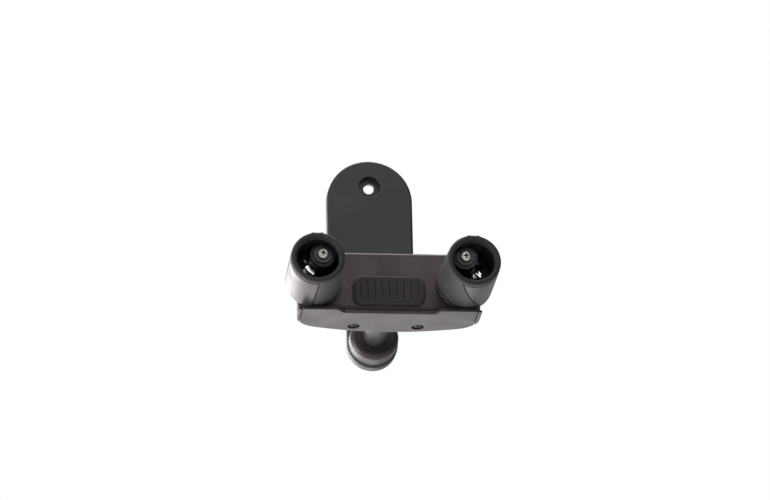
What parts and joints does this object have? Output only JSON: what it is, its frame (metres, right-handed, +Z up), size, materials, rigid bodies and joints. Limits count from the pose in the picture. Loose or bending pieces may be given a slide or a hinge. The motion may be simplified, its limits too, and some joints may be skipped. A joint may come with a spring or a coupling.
{
  "type": "wall guitar hanger",
  "caption": "Wall hanger for a guitar: plate, short arm and swivelling yoke with two hollow rubber-rimmed posts that turn in on the neck under load.",
  "frame": {"origin": "where the arm's axis meets the wall plane, on the back face of the wall plate", "axes": "+Y into the wall, +Z up, +X to the right of someone who faces the wall; the hanger stands out towards -Y"},
  "size_m": [0.1036, 0.1064, 0.111],
  "materials": {
    "plate_steel": "fine satin black powder coat",
    "arm_steel": "satin black powder coat on steel rod",
    "hard_plastic": "moulded black plastic with a fine even grain",
    "shell_plastic": "moulded black plastic with faint rings, satin",
    "soft_rubber": "dense soft black rubber, matte",
    "rim_rubber": "matte black rubber, slightly dusty",
    "nylon": "moulded black nylon",
    "black_washer": "blackened steel",
    "screw_steel": "zinc-plated steel",
    "plain_steel": "polished steel",
    "black_screws": "black oxide steel"
  },
  "bodies": {
    "wall_mount": {"wall_plate": "plate_steel", "arm_flange": "hard_plastic", "flange_screws": "black_screws", "arm_stem": "arm_steel", "stem_ring": "plain_steel", "stem_washer": "plain_steel", "swivel_stop_pin": "plain_steel"},
    "swivel": {"lift_frame": "nylon", "stem_bush": "nylon", "left_rack": "nylon", "right_rack": "nylon"},
    "carriage": {"yoke_body": "hard_plastic", "yoke_face": "hard_plastic", "yoke_cover": "hard_plastic", "neck_pad": "soft_rubber", "housing_screws": "black_screws", "guide_pins": "plain_steel", "left_spring": "plain_steel", "right_spring": "plain_steel", "left_core_post": "nylon", "right_core_post": "nylon", "pivot_washers": "black_washer", "pivot_screws": "screw_steel", "stop_pins": "plain_steel"},
    "gate_left": {"left_gate_shell": "shell_plastic", "left_gate_pad": "soft_rubber", "left_gate_rim": "rim_rubber", "left_gate_hub": "nylon", "left_gate_pinion": "nylon"},
    "gate_right": {"right_gate_shell": "shell_plastic", "right_gate_pad": "soft_rubber", "right_gate_rim": "rim_rubber", "right_gate_hub": "nylon", "right_gate_pinion": "nylon"}
  },
  "joints": [
    {"name": "yoke_swivel", "type": "hinge", "parent": "wall_mount", "child": "swivel", "pos_m": [0, -0.06376, 0.00558], "axis": [0, -0.9962, 0.0872], "range_deg": [-30, 30]},
    {"name": "yoke_drop", "type": "slide", "parent": "swivel", "child": "carriage", "axis": [0, -0.0872, -0.9962], "range_m": [0, 0.005], "stiffness_N_per_m": 1500, "springref_m": -0.004, "deforming": ["left_spring", "right_spring"]},
    {"name": "left_gate_turn", "type": "hinge", "parent": "carriage", "child": "gate_left", "pos_m": [-0.0352, -0.07302, 0.01442], "axis": [0, -0.9962, 0.0872], "range_deg": [0, 45]},
    {"name": "right_gate_turn", "type": "hinge", "parent": "carriage", "child": "gate_right", "pos_m": [0.0352, -0.07302, 0.01442], "axis": [0, 0.9962, -0.0872], "range_deg": [0, 45]}
  ],
  "couplings": [
    {"joint": "left_gate_turn", "follows": "yoke_drop", "rad_per_m": 156.25},
    {"joint": "right_gate_turn", "follows": "yoke_drop", "rad_per_m": 156.25}
  ]
}
